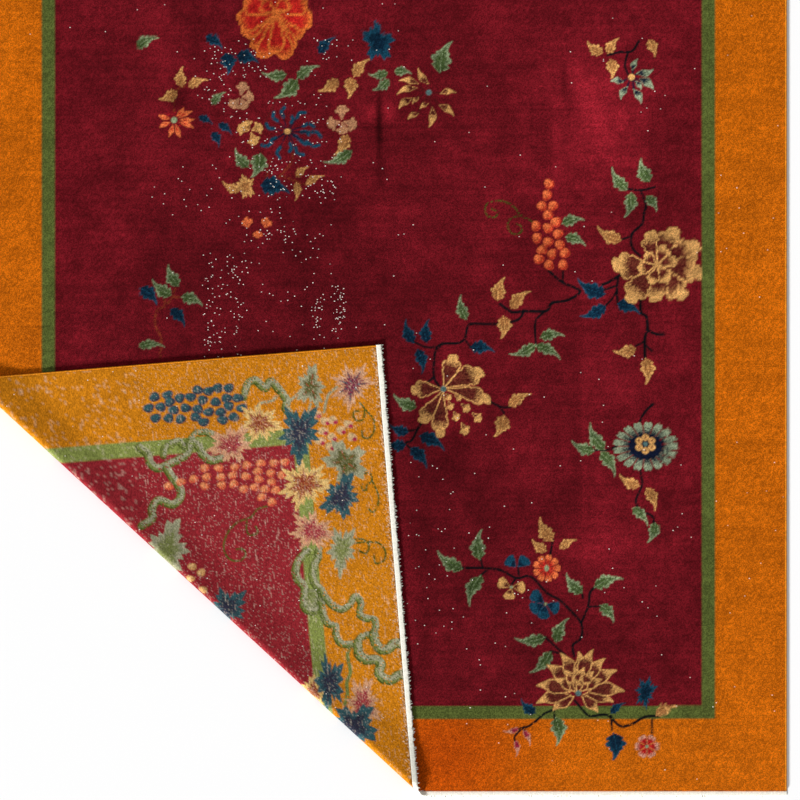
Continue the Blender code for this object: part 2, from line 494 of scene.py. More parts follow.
LEAVES = (  # tones, base x, base y, tip x, tip y, width
    # upper left spray
    ("green", 136, 48, 159, 38, 12), ("navy", 205, 36, 223, 50, 12), ("navy", 225, 53, 228, 75, 17),
    ("navy", 236, 56, 259, 63, 15), ("green", 287, 74, 261, 72, 12), ("green", 297, 79, 274, 98, 17),
    ("gold", 182, 87, 183, 66, 12), ("gold", 188, 87, 208, 80, 10), ("gold", 177, 91, 158, 99, 12),
    ("navy", 198, 117, 213, 125, 8), ("navy", 218, 124, 232, 135, 9), ("navy", 212, 132, 219, 147, 10),
    ("green", 212, 105, 226, 92, 9), ("navy", 260, 186, 290, 193, 20), ("navy", 319, 54, 336, 37, 12),
    ("green", 297, 79, 320, 66, 12), ("gold", 338, 79, 318, 91, 13), ("gold", 349, 77, 348, 99, 14),
    ("gold", 354, 77, 370, 59, 12), ("green", 388, 72, 368, 74, 10), ("green", 389, 79, 372, 90, 11),
    ("green", 394, 72, 412, 74, 10), ("green", 440, 73, 452, 41, 21), ("gold", 296, 177, 309, 167, 8),
    ("gold", 306, 185, 325, 176, 8), ("gold", 296, 182, 295, 201, 8), ("gold", 347, 134, 334, 155, 13),
    ("green", 352, 150, 323, 162, 13), ("green", 249, 167, 235, 148, 13),
    ("green", 260, 153, 251, 178, 18), ("gold", 241, 190, 222, 181, 10),
    # left spray
    ("green", 179, 286, 168, 264, 14), ("green", 172, 295, 152, 279, 14), ("green", 181, 297, 203, 306, 13),
    ("navy", 140, 288, 157, 305, 15), ("navy", 170, 309, 185, 327, 13), ("green", 138, 347, 165, 347, 10),
    # upper right spray
    ("gold", 603, 53, 587, 41, 12), ("gold", 608, 54, 619, 38, 11), ("gold", 610, 59, 611.5, 79, 13),
    ("gold", 648, 40, 655, 57, 11),
    # branch to the right
    ("green", 562, 224, 585, 220, 12), ("green", 565, 237, 586, 246, 12), ("navy", 606, 294, 577, 278, 17),
    ("navy", 606, 305, 579, 316, 14), ("navy", 617, 304, 640, 314, 15), ("gold", 622, 240, 597, 226, 14),
    ("gold", 498, 301, 505, 277, 15), ("gold", 511, 309, 531, 291, 13), ("gold", 503, 316, 501, 339, 15),
    ("gold", 636, 348, 613, 351, 13), ("gold", 645, 358, 645.5, 385, 15), ("green", 467, 320, 461, 294, 12),
    ("green", 628, 190, 612, 167, 13), ("green", 631, 192, 624, 218, 14), ("green", 650, 182, 641, 158, 15),
    ("green", 646, 196, 657, 212, 11), ("green", 540, 338, 565, 336, 12), ("green", 535, 346, 561, 360, 12),
    ("green", 536, 344, 509, 354, 12),
    # round the middle peony
    ("navy", 414, 343, 406, 319, 13), ("navy", 427, 343, 429, 319, 13), ("navy", 417, 349, 422, 374, 13),
    ("navy", 470, 348, 495, 352, 14), ("navy", 409, 432, 389, 424, 12), ("navy", 406, 444, 386, 443, 13),
    ("navy", 410, 448, 427, 469, 14), ("navy", 419, 436, 445, 451, 15), ("green", 417, 407, 393, 394, 14),
    ("gold", 509, 407, 532, 394, 12), ("gold", 504, 415, 494, 437, 16),
    # right lotus
    ("green", 605, 450, 590, 422, 14), ("green", 595, 451, 571, 440, 13), ("green", 600, 452, 615, 477, 14),
    ("gold", 640, 486, 619, 474, 12), ("gold", 646, 488, 655, 511, 12), ("green", 632, 508, 648, 526, 11),
    ("green", 655, 522, 647, 543, 12),
    # lower spray
    ("gold", 553, 541, 540, 517, 15), ("gold", 547, 551, 532, 539, 11), ("gold", 560, 549, 577, 540, 9),
    ("green", 463, 569, 437, 550, 15), ("green", 480, 560, 482, 529, 16),
    ("green", 481, 575, 470, 607, -15), ("green", 583, 593, 566, 573, 14),
    ("green", 594, 588, 624, 579, 14), ("green", 600, 605, 614, 623, 13),
    ("green", 546, 637, 514, 638, 13), ("green", 556, 643, 569, 618, 14), ("green", 551, 651, 529, 673, 14),
    # beside and below the chrysanthemum
    ("navy", 536, 713, 521, 699, 12), ("navy", 611, 714, 626, 703, 8.5), ("bud", 519, 728, 503, 731, 5.5),
    ("bud", 515, 740, 516, 757, 6), ("bud", 523, 730, 530, 746, 6), ("navy", 613, 733, 613, 761, 21),
    ("green", 555.5, 717, 556.5, 746, 17), ("gold", 656, 716, 678, 706, 12),
)
CORAL_DAISY = (174, 120)  # its middle
CORAL_DAISY_TIPS = (
    (184, 107), (192.5, 111), (195, 119), (194, 128), (181, 138), (169, 137), (159, 128), (158, 115),
)
BLOSSOMS = (  # tones, form, centre, tips, petal width, eye, eye radius
    ("peony", "round", (511.3, 587.2), ((498, 582), (525, 588), (509, 599.5)), 9.5, "sage", 1.6),
    ("rose", "lobed", (240.5, 97), ((243, 82), (253.5, 97), (246, 108.5), (230.5, 107)), 11, None, 0),
    ("gold", "lobed", (250, 131), ((237.5, 128), (245, 121.5), (262, 125.5), (255, 145)), 11, None, 0),
    ("rose", "lobed", (342, 121), ((341, 105), (327, 124), (357, 125), (343, 134)), 12, None, 0),
    ("coral", "lobed", (248, 228.5), ((242, 221), (246, 217), (250.5, 218.5)), 4.5, None, 0),
    ("coral", "lobed", (265, 228.5), ((271, 221), (267, 217), (262.5, 218.5)), 4.5, None, 0),
    ("coral", "lobed", (257.5, 239), ((253.5, 232.5), (257.5, 230.5), (261, 232.5)), 4, None, 0),
    ("navy", "round", (517, 568), ((506.5, 558.5), (528, 558.5)), 11, None, 0),
    ("navy", "round", (545.5, 604), ((531, 593.5), (530, 609), (543.5, 619), (559, 610)), 11, "sage", 1.4),
)
DAISIES = (  # tones, centre, eye, its radius, petals: base, tip, width (its sign turns the bend)
    ("peony", (428.8, 92.4), "teal", 2.8, (
        (429, 84, 418, 68, 7.5), (419, 84, 398.5, 81, -7), (417.5, 87.5, 396.5, 95, -7),
        (412, 98, 399, 109, -8), (419, 113, 407.5, 120, -6), (432, 106.5, 428.5, 128, 8),
        (438.5, 105, 454, 116, 7.5), (440, 93.5, 456, 92.5, 6.5), (419, 97, 412.5, 104, -5),
        (428.5, 103, 420, 109, -5),
    )),
    ("lotus", (631.6, 77), "gold", 3.2, (
        (632.5, 71, 638, 58.5, 6.5), (636, 73.5, 654, 68.5, -8), (639, 78.5, 654, 90, 9),
        (633, 89, 641.5, 104, 8), (627.5, 86, 621, 100, -7), (624, 82, 610, 81.5, -7),
        (635.5, 81, 641.5, 90, 6),
    )),
)
ROSETTES = (  # tones, x, y, radius, petals, heart, gap, radii of its sage eye
    ("coral", 546.7, 568.3, 13.8, 9, 0.6, 0.3, 2.4, 3.2),
    ("pink", 647, 746.5, 12, 6, 0.72, 0.25, 1.8, 1.8),
)
PEONIES = (  # tones, form, rim, heart, centre, petals: tip x, tip y, width (its sign turns the bend)
    ("flame", "round", 2.2, 0.86, (275, 12), (
        (244, 36, 18), (303, 36, -18), (253, 49, 15), (295, 49, -15), (238, 22, 24), (312, 20, -24),
        (244, 0, 24), (306, 0, -24), (275, -14, 26), (262, 58.5, 20), (288.5, 58.5, -20), (262, 2, 16),
        (288, 2, 16), (275, 54, 18),
    )),
    ("peony", "knobbed", 1.0, 0.70, (657, 265), (
        (649, 231, -24), (676, 228, 24), (699, 243, -26), (702, 274, 26), (686, 298, -24), (655, 302, 24),
        (629, 303, -25), (612, 264, 27), (664, 245, -13), (677, 260, 14), (669, 281, -14), (651, 284, 14),
        (638, 270, -14), (645, 253, 13),
    )),
    ("peony", "knobbed", 0.9, 0.74, (443.4, 389), (
        (453.5, 354, -19), (483, 371, 22), (491, 401, 17), (411, 391, -18), (421, 423, 19), (441, 438, -17),
    )),
)
SEEDS = (  # of the middle peony: x, y of their middles, size
    (448.5, 397, 0.75), (458.5, 397.5, 0.75), (450.5, 406, 0.85), (466, 408, 1.05), (456, 416.5, 0.95),
    (477.5, 417.5, 1.1), (464.5, 429.5, 1.2),
)
SPIDER_TIPS = (  # x, y, how far the tip hooks
    (282, 108, 0.5), (303, 111, 0.5), (293, 117, -0.4), (313, 124, 0.5), (309, 133, 0.4), (321, 134, 0.4),
    (298, 138, 0.3), (308, 145, -0.3), (318, 147, -0.3), (301, 156, -0.5), (291, 151, 0.4),
    (277, 157, -0.5), (270, 142, -0.4), (263, 147, 0.4), (266, 126, 0.5), (272, 114, 0.5),
)
SPIDER_COURSE = ((0.64, -0.05), (0.86, -0.12), (1, 0.2))  # of a petal's thick end: shares out and aside
CHRYSANTHEMUM = (  # tip x, tip y, width, outer petals first
    (553, 711, 14), (598, 712, 13), (536, 704, 14), (614, 702, 13), (536, 686, 15), (625, 691, 15),
    (546, 665, 15), (617, 670, 15), (560, 653, 15), (605, 658, 15), (578, 651, 15), (593, 649, 15),
    (556, 679, 12), (602, 679, 12), (564, 670, 12), (574, 667, 12), (584, 667, 12), (594, 671, 12),
    (567, 682, 9), (590, 682, 9), (573, 678, 8), (583, 677, 8), (578, 681, 7),
)
FRONT_STARS = (  # tones, x, y, radius across, radius along, turn, points
    ("gold", 245.5, 186.5, 10, 12, 0.6, 5),
    ("navy", 378, 42, 17, 21, 1.57, 5), ("navy", 645.5, 692, 11, 15, 0.3, 7),
)
BERRIES = (  # on the front: x, y
    (549, 184), (547, 195), (542, 206), (553, 206), (548, 215), (556, 222), (536, 226), (548, 228),
    (558, 234), (537, 238), (548, 242), (560, 245), (542, 250), (552, 254), (565, 253), (539, 259),
    (549, 265), (563, 265),
)
STEMS = (  # dye, then width and points of each
    ("umber", ((1.4, ((185, 86), (176, 92), (174, 117))),)),
    ("maroon", ((1.4, ((280, 67), (279, 90), (262, 130))),)),
    ("umber", (
        (1.6, ((290, 142), (292, 160), (281, 175), (268, 186))),
        (1.6, ((281, 175), (295, 181), (306, 184))), (1.4, ((270, 160), (266, 178))),
        (1.6, ((177, 285), (173, 296), (181, 297))), (1.6, ((164, 295), (165, 305))),
        (1.6, ((173, 297), (165, 306), (157, 311), (155, 325), (161, 338), (160, 357))),
    )),
    ("bark", (
        (1.6, ((639, 41), (632, 51), (620, 52), (608, 55))), (1.5, ((628, 52), (625, 65), (628, 74))),
        (1.9, ((549, 271), (562, 282), (580, 291), (568, 300), (552, 303), (546, 311), (524, 311),
         (512, 312), (500, 304))),
        (1.7, ((524, 311), (519, 319), (506, 323), (489, 324), (471, 324), (467, 329), (465, 338),
         (458, 343), (442, 344), (436, 350), (434, 361), (434, 377), (439, 386))),
        (1.5, ((544, 312), (536, 320), (535, 330), (536, 345))), (1.4, ((563, 271), (563, 282))),
        (1.9, ((601, 285), (609, 282), (620, 275))), (1.6, ((602, 290), (610, 288), (617, 285))),
        (1.7, ((618, 277), (617, 292), (618, 304))), (1.3, ((616, 292), (612, 299), (606, 305))),
        (2.0, ((640.5, 296), (641, 312), (646.5, 317), (647.5, 330), (645, 338), (645, 358))),
        (1.9, ((647.5, 330), (656, 334), (664, 334))), (1.3, ((645, 341), (636, 346))),
        (1.3, ((645.5, 345), (652, 351))),
        (1.7, ((640, 256), (632, 247), (632, 234), (642, 224), (644, 213), (646, 205), (641, 192))),
        (1.5, ((655, 187), (642, 190), (628, 189))), (1.4, ((629, 237), (620, 240))),
        (1.5, ((440, 347), (426, 347), (414, 342))), (1.4, ((434, 377), (428, 382))),
        (1.4, ((466, 341), (471, 348))), (1.5, ((491, 402), (501, 407), (510, 407))),
        (1.4, ((499, 406), (504, 413))),
        (1.6, ((421, 424), (417, 430), (412, 440), (406, 443), (411, 449))),
        (1.5, ((417, 430), (408, 431))), (1.7, ((653, 404), (645, 412), (640, 421))),
        (1.5, ((593, 450), (607, 450), (617, 446))),
        (1.5, ((640, 468), (642, 485), (636, 500), (640, 510), (652, 516), (654, 524))),
        (1.7, ((462, 568), (481, 568), (500, 570), (516, 578), (527, 576), (534, 579), (547, 593),
         (558, 599), (567, 607), (581, 623), (581, 638), (573, 645), (574, 656))),
        (1.6, ((581, 623), (588, 607), (590, 593), (595, 587))), (1.4, ((588, 607), (601, 606))),
        (1.4, ((480, 558), (483, 568))), (1.4, ((487, 570), (480, 576))), (1.4, ((516, 578), (512, 584))),
        (1.4, ((519, 575), (518, 568))), (1.5, ((553, 540), (550, 556))), (1.4, ((583, 598), (582, 593))),
        (1.5, ((545, 637), (556, 647), (565, 655))), (1.4, ((550, 651), (558, 653))),
        (1.8, ((575, 701), (582, 709), (590, 716), (607, 715), (620, 726), (632, 724), (645, 717),
         (660, 716))),
        (1.5, ((611, 716), (612, 730))), (1.5, ((652, 720), (652, 738))),
        (1.6, ((553, 710), (544, 714), (536, 721), (527, 727), (517, 729))),
        (1.4, ((523, 728), (515, 736), (515, 742))), (1.4, ((524, 727), (525, 735))),
        (1.4, ((554, 711), (555, 722))),
    )),
    ("olive", (
        (1.3, ((533, 222), (521, 215), (513, 206), (502, 201), (490, 202), (485, 208), (488, 216),
         (495, 217), (498, 212), (492, 209))),
        (1.3, ((521, 215), (510, 219), (508, 227), (513, 234), (521, 232), (521, 226), (516, 224))),
    )),
)

# ---- as seen on the flap ----
FLAP_GRAPES = (  # tones, radius, x, y pairs
    ("vine_navy", 5.0, (
        155, 397, 168, 395, 180, 398, 191, 397, 198, 390, 209, 391, 218, 388, 229, 388, 227, 398, 238, 398,
        149, 408, 161, 407, 170, 402, 174, 410, 186, 408, 198, 409, 203, 400, 216, 402, 229, 406, 242, 408,
        156, 418, 169, 418, 181, 419, 196, 417, 209, 412, 221, 412, 204, 422, 223, 420, 234, 417,
    )),
    ("vine_coral", 4.0, (
        169, 486, 181, 482, 194, 479, 205, 468, 207, 477, 205, 486, 219, 468, 221, 477, 222, 485, 235, 467,
        233, 475, 234, 484, 247, 465, 246, 476, 244, 489, 261, 463, 258, 471, 259, 479, 255, 487, 262, 497,
        265, 489, 274, 463, 271, 473, 272, 482, 276, 490, 272, 502, 285, 462, 282, 475,
    )),
    ("grape", 4.2, (
        316, 414, 325, 421, 333, 420, 348, 424, 323, 431, 341, 430, 332, 437, 320, 441, 352, 437, 330, 446,
    )),
    ("gold", 3.7, (
        193, 566, 202, 572, 191, 578, 204, 589,
    )),
)
GRAPE_SPOT = (2.4, 2.6, 2.0, 2.3)  # the magenta spot on each rose grape: shift and radii
STAR_LEAVES = (  # tones, x, y, radius across, radius along, turn, points
    ("lemon", 260, 423, 20, 22, 0.5, 7), ("vine_rose", 231, 444, 21, 22, 1.3, 7),
    ("vine_navy", 300, 432, 24, 27, 0.1, 5), ("vine_leaf", 311, 387, 17, 20, 0.9, 5),
    ("vine_plum", 352, 385, 22, 22, 0.2, 7), ("vine_leaf", 346, 462, 24, 24, 1.6, 5),
    ("lemon", 305, 484, 25, 26, 0.4, 7), ("vine_navy", 341, 497, 21, 23, 1.1, 5),
    ("vine_rose", 313, 531, 23, 21, 0.6, 7), ("vine_sage", 342, 549, 16, 24, 0.2, 5),
    ("lemon", 314, 690, 14, 15, 0.7, 5), ("vine_navy", 330, 682, 14.5, 31, 0.4, 5),
    ("vine_rose", 363, 703, 20, 24, 0.9, 7), ("vine_navy", 354, 725, 25, 27, 1.4, 5),
    ("vine_sage", 168, 549, 26, 27, 1.0, 5), ("vine_navy", 228, 607, 20, 22, 0.3, 5),
)
VINES = (  # width, points
    (8, ((244, 397), (248, 384), (255, 380), (261, 385), (266, 388), (271, 381), (278, 388), (287, 400),
     (286, 408), (293, 417))),
    (7, ((219, 438), (207, 432), (197, 433), (191, 439), (185, 446), (178, 441), (166, 447), (164, 455))),
    (8, ((222, 458), (211, 460), (203, 454), (199, 446), (191, 443), (188, 453), (180, 459), (171, 463),
     (159, 468), (151, 463), (148, 454), (140, 447))),
    (8, ((167, 468), (172, 476), (180, 487), (181, 497), (173, 504), (159, 500), (153, 508), (153, 518),
     (143, 525))),
    (8, ((307, 551), (299, 560), (296, 570), (298, 579), (305, 587), (304, 598), (305, 607), (312, 611),
     (319, 607), (322, 598), (321, 590), (315, 583), (313, 575), (314, 566), (318, 558), (319, 549))),
    (7, ((322, 590), (327, 599), (333, 605), (342, 609), (350, 604), (355, 596), (361, 602), (360, 614),
     (367, 618), (374, 619), (376, 626), (372, 633), (362, 636), (356, 642), (347, 644), (340, 642),
     (336, 634), (336, 626), (328, 623), (324, 615), (322, 604))),
    (10, ((374, 634), (376, 643), (382, 649), (389, 648), (394, 643), (403, 643))),
    (10, ((358, 643), (359, 653), (366, 659), (376, 659), (381, 664), (379, 672), (384, 678), (392, 679),
     (398, 675), (405, 673))),
)
VINE_KNOT = (312, 599, 8.5, 10.5)  # the thick place where the vine turns on itself: x, y, radii
FLAP_STEMS = (  # dye, then width and points of each
    ("mid_vine", (
        (2.5, ((351, 646), (347.5, 655), (350.5, 671), (347, 682), (347.5, 694), (345, 703))),
    )),
    ("pale_vine", (
        (1.7, ((277, 396), (272, 401), (261, 403), (257, 408))),
        (1.8, ((337, 387), (328, 396), (324, 412))), (1.8, ((289, 402), (300, 392))),
        (1.5, ((311, 404), (307, 414), (303, 420))),
    )),
    ("dark_vine", (
        (1.15, ((267, 506), (258, 509), (251, 517), (238, 522), (229, 531), (224, 544), (226, 554),
         (232, 560), (241, 560), (246, 554), (243, 549), (237, 549))),
        (1.15, ((247, 520), (247, 531), (252, 535), (258, 532), (256, 526))),
        (1.35, ((360, 403), (364, 408), (364, 418), (359, 421), (354, 418), (354, 412), (359, 411))),
        (1.35, ((366, 410), (374, 420), (374, 431), (369, 438), (363, 437), (362, 431))),
        (1.35, ((363, 474), (370, 473), (372, 480), (367, 485), (366, 490), (362, 489), (362, 484))),
        (1.35, ((372, 480), (378, 494), (378, 504), (373, 512), (368, 508))),
        (1.4, ((346, 540), (362, 539), (369, 545), (366, 553), (358, 550))),
        (1.4, ((352, 543), (376, 542), (385, 550), (384, 560), (376, 563), (374, 556))),
    )),
)

# ---- wear: where knots have lost their pile and show their cotton, and the pile's painted sheen and shade ----
WORN = (  # left, top, right, bottom, count
    (205, 42, 270, 78, 34), (200, 80, 235, 105, 12), (225, 95, 340, 165, 54), (262, 160, 338, 200, 60),
    (150, 165, 240, 215, 12), (240, 210, 290, 240, 10), (205, 250, 242, 358, 80), (242, 228, 330, 262, 26),
    (240, 262, 345, 355, 24), (314, 291, 321, 329, 14), (334, 289, 344, 331, 20), (316, 40, 350, 60, 10),
    (560, 40, 655, 110, 4), (145, 40, 420, 360, 34), (420, 40, 655, 360, 10), (400, 350, 655, 700, 38),
    (412, 460, 475, 650, 22), (500, 560, 560, 600, 7), (410, 705, 655, 765, 10), (-20, -260, 780, 40, 90),
    (655, 40, 780, 780, 30),
)
WORN_SOFT = 8  # squares over which a worn place fades in
WORN_GAIN = 1.5  # specks drawn for each one counted, so that the wear looks like the photograph's
PAINTED_SHEEN_AND_SHADE = (  # painted sheen where the pile lies another way, and painted shade and highlight along old fold creases: how much lighter, x, y, radius across, radius along
    (-1.1, 379, 118, 2.5, 26), (-0.4, 380, 150, 4, 34), (0.7, 371, 113, 7, 8), (0.65, 389, 113, 7, 9),
    (-0.35, 377, 128, 20, 3), (-0.5, 564, 82, 3, 18), (-0.5, 570, 104, 4, 12), (0.25, 560, 165, 10, 40),
    (-0.35, 300, 215, 70, 40), (-0.45, 330, 290, 75, 45), (-0.16, 190, 260, 40, 70),
    (0.18, 400, 245, 60, 40), (-0.2, 560, 335, 70, 30), (0.1, 480, 160, 60, 50), (-0.2, 470, 90, 50, 40),
    (0.3, 630, 380, 30, 30), (0.08, 570, 430, 40, 60), (-0.3, 458, 465, 35, 35), (0.15, 620, 560, 45, 40),
    (-0.2, 530, 510, 60, 30), (0.72, 592, 104, 54, 70), (0.16, 500, 320, 50, 60), (0.32, 160, 75, 30, 50),
    (-0.12, 225, 105, 40, 25), (0.12, 310, 160, 45, 50), (0.16, 590, 300, 40, 25),
    (0.22, 584, 445, 2.5, 120), (0.16, 600, 450, 16, 120), (-0.2, 575, 440, 8, 110),
    (-0.14, 455, 540, 50, 130), (0.1, 585, 420, 40, 240), (-0.35, 165, 100, 14, 8), (-0.6, 180, 98, 9, 14),
    (-0.3, 420, 420, 10, 60), (-0.25, 600, 640, 40, 30), (0.12, 230, 140, 60, 50), (0.15, 610, 150, 40, 60),
    # the first patch on this line is a painted shadow along the flap's upper edge
    (-0.3, 250, 345, 90, 14), (-0.3, 425, 600, 8, 110),
)
SHEEN_AND_DYE_MOTTLING = (  # the pile's mottling, mostly painted sheen where it lies another way, with streaks of uneven dye: strength, patches across, patches along
    (0.06, 7, 9), (0.18, 22, 26), (0.20, 75, 90), (0.14, 26, 420), (0.10, 200, 300),
)
ROW_STREAK, GRAIN = 0.05, 0.42
DASHES = ((1, 0.91, 0.20), (5, 0.972, 0.20))  # the back's cotton: knots long, share without one, strength
END_MIX = 0.006  # how far in from the ends the back's rows are mixed with cotton, in metres

AMBER_SHARE = 0.5  # how far amber covers the orange, but at its reddest place
OCHRE_SHARE, FERN_SHARE = 0.5, 0.8  # how far the turned corner's orange and guard have faded to these


def draw_ground(chart):
    """The crimson field inside a green guard band and an orange border. The left border, the left part of
    the near one and the guard on the turned-over corner are a little wider than the rest. The orange is
    reddest at one place of the near border, and on the turned-over corner it has faded.

    Returns how far each knot is field, from 0 to 1."""
    x, y = np.meshgrid(chart.x, chart.y)
    right, head = CHART_LEFT + WIDTH / SQUARE, CHART_FOOT - LENGTH / SQUARE
    turned = ramp_to(past_bend(*to_rug(x, y)) - BEND_LENGTH / 2, 0.01)
    side = np.minimum(x - CHART_LEFT - LEFT_EXTRA, right - x)
    end = np.minimum(CHART_FOOT - y - NEAR_EXTRA * ramp_to(NEAR_START - x, NEAR_RUN), y - head)
    edge = np.minimum(side, end)
    field = inside(edge - BORDER - (GUARD + TURNED_EXTRA * turned))
    reddest = np.exp(-(((x - REDDEST_X) / REDDEST_REACH) ** 2) - ((y - REDDEST_Y) / REDDEST_REACH) ** 2)
    everywhere = (slice(None), slice(None))
    chart.lay(everywhere, np.ones_like(edge), "orange")
    chart.lay(everywhere, AMBER_SHARE * (1 - reddest) * (1 - turned), "amber")
    chart.lay(everywhere, OCHRE_SHARE * turned, "ochre")
    chart.lay(everywhere, inside(edge - BORDER), "guard")
    chart.lay(everywhere, FERN_SHARE * turned * inside(edge - BORDER), "fern")
    chart.lay(everywhere, field, "crimson")
    return field


def draw_spider_flower(chart):
    """A chrysanthemum of thin hooked petals: each runs out straight, and its thick end swings aside."""
    centre = np.array((287.4, 131.4))
    for x, y, hook in SPIDER_TIPS:
        out = np.array((x, y)) - centre
        side = hook * np.array([-out[1], out[0]])
        thin = [centre + 0.1 * out, centre + 0.62 * out - 0.05 * side]
        thick = [centre + reach * out + swing * side for reach, swing in SPIDER_COURSE]
        stroke(chart, thin, 1.3, "ink", 0.1)
        stroke(chart, thick, 3.6, "navy", 0.05)
    dot(chart, centre, 3.2, 2.6, "gold")


def draw_peonies(chart):
    """The three round flowers of knobbed petals, and the seeds of the middle one, which point away from
    its eye and are 11 squares long and 9 wide, times their size."""
    for tones, form, rim, heart, centre, petals in PEONIES:
        for x, y, wide in petals:
            leaf(chart, centre, (x, y), abs(wide), tones, form, 0.10 * np.sign(wide), rim, heart)
    middle = np.array(PEONIES[2][4])
    dot(chart, middle, 3.0, 3.0, "teal")
    for x, y, size in SEEDS:
        place = np.array((x, y))
        out = size * (place - middle) / np.hypot(*(place - middle))
        leaf(chart, place - 6.5 * out, place + 4.5 * out, 9 * size, "peony", "lobed", 0.0, 0.2, 0.45)


def draw_lotus(chart):
    """A round flower in rings: notched grey-green petals, dark at their roots, gold florets, an eye."""
    centre = np.array((645.5, 444.0))
    rosette(chart, centre + (0, 2.5), 33, 24.8, 17, "lotus", 0.67)
    for place in ring(centre, 7.4, 6.6, 6, np.pi / 6):
        dot(chart, place, 3.6, 3.4, "gold")
        dot(chart, place, 0.9, 0.9, "maroon")
    dot(chart, centre, 2.4, 2.2, "teal")


def draw_daisies(chart):
    """The two flowers of narrow petals, dark towards their eyes."""
    for tones, centre, eye, eye_radius, petals in DAISIES:
        for x0, y0, x1, y1, wide in petals:
            base, tip = np.array((x0, y0)), np.array((x1, y1))
            stroke(chart, [np.array(centre), base + 0.2 * (tip - base)], 1.9, TONES[tones][1], 0.15)
            leaf(chart, base, tip, abs(wide), tones, "blade", 0.3 * np.sign(wide), 0.2, 0.44)
        dot(chart, centre, eye_radius, eye_radius, eye)


def draw_chrysanthemum(chart):
    """The large flower over the near guard band: layers of pointed petals, each gold round maroon. A
    petal starts 0.022 * (width - 7) of the way out, so the wide ones start farthest out."""
    centre = np.array((578.4, 693.3))
    for x, y, wide in CHRYSANTHEMUM:
        base = centre + 0.022 * (wide - 7) * (np.array((x, y)) - centre)
        leaf(chart, base, (x, y), wide, "peony", "petal", 0.20 * np.sign(x - centre[0]), 0.8, 0.70)
    dot(chart, centre, 3.0, 2.8, "teal")


def draw_coral_daisy(chart):
    """Eight separate petals on a scarlet disc."""
    rosette(chart, np.array(CORAL_DAISY), 9, 8, len(CORAL_DAISY_TIPS), "heart", 1.0)
    blossom(chart, CORAL_DAISY, CORAL_DAISY_TIPS, 5.0, "coral", "sage", 3, "petal", 0.7, 0.25)


STEM_SWELL, LEAF_SWELL, BLOSSOM_SWELL = 1.5, 1.02, 1.2  # how much wider than in their tables
GRAPE_SWELL = (0.92, 1.1)  # a grape's two radii, as shares of the one in its table
BERRY_RADII = (4.7, 4.9)
LEAF_HOOK = 0.32  # how far a leaf bends


def draw_front(chart):
    """Everything that shows on the pile."""
    for dye, rows in STEMS:
        for wide, points in rows:
            stroke(chart, points, STEM_SWELL * wide, dye, 0.06 if dye == "bark" else 0.35)
    for tones, x0, y0, x1, y1, wide in LEAVES:
        hook = LEAF_HOOK * np.sign(wide)
        rim = 0.1 if tones == "bud" else 0.0
        leaf(chart, (x0, y0), (x1, y1), LEAF_SWELL * abs(wide), tones, "leaf", hook, rim, 0.5)
    for tones, x, y, radius_x, radius_y, turn, points in FRONT_STARS:
        star_leaf(chart, np.array((x, y)), radius_x, radius_y, tones, turn, points)
    draw_peonies(chart)
    draw_lotus(chart)
    draw_daisies(chart)
    draw_coral_daisy(chart)
    for tones, form, centre, tips, wide, eye, eye_radius in BLOSSOMS:
        blossom(chart, centre, tips, BLOSSOM_SWELL * wide, tones, eye, eye_radius, form, 0.6, 0.1)
    draw_spider_flower(chart)
    for tones, x, y, radius, petals, heart, gap, eye_x, eye_y in ROSETTES:
        rosette(chart, np.array((x, y)), radius, radius, petals, tones, heart, gap)
        dot(chart, (x, y), eye_x, eye_y, "sage")
    draw_chrysanthemum(chart)
    for place in BERRIES:
        berry(chart, place, *BERRY_RADII, "coral")


def draw_flap(chart):
    """What shows on the back of the flap: the vine that climbs over the guard band at the corner."""
    for dye, rows in FLAP_STEMS:
        for wide, points in rows:
            stroke(chart, on_flap(points), STEM_SWELL * wide, dye, 0.1)
    x, y, radius_x, radius_y = VINE_KNOT
    berry(chart, on_flap([(x, y)])[0], radius_y, radius_x, "vine_knot")
    for wide, points in VINES:
        vine(chart, points, wide)
    for tones, radius, places in FLAP_GRAPES:
        for place in on_flap(np.reshape(places, (-1, 2))):
            berry(chart, place, GRAPE_SWELL[0] * radius, GRAPE_SWELL[1] * radius, tones)
            if tones == "grape":
                dot(chart, place + GRAPE_SPOT[:2], *GRAPE_SPOT[2:], "magenta")
    for tones, x, y, radius_x, radius_y, turn, points in STAR_LEAVES:
        star_leaf(chart, on_flap([(x, y)])[0], radius_y, radius_x, tones, turn, points)


def painted_sheen_and_tone(chart, field):
    """How light the pile looks: broad and narrow mottling, less in the border, which is mostly painted
    sheen where the pile lies another way; named patches of painted sheen, of painted shade and highlight
    along old fold creases, and of painted shadow along the flap's upper edge; and streaks along the rows
    and the grain of single knots, which are uneven dye."""
    # mostly painted sheen
    light = sum(strength * mottle(chart, across, along) for strength, across, along in SHEEN_AND_DYE_MOTTLING)
    light *= 0.45 + 0.55 * field
    # painted sheen, painted crease shade and highlight, and a painted shadow of the flap
    for gain, x, y, across, along in PAINTED_SHEEN_AND_SHADE:
        patch, px, py = chart.near([(x, y)], 2.5 * max(across, along))
        light[patch] += gain * np.exp(-(((px - x) / across) ** 2) - ((py - y) / along) ** 2)
    rows = RNG.uniform(-ROW_STREAK, ROW_STREAK, (len(chart.y), 1))
    return light + rows + GRAIN * (chart.grain - 0.5)


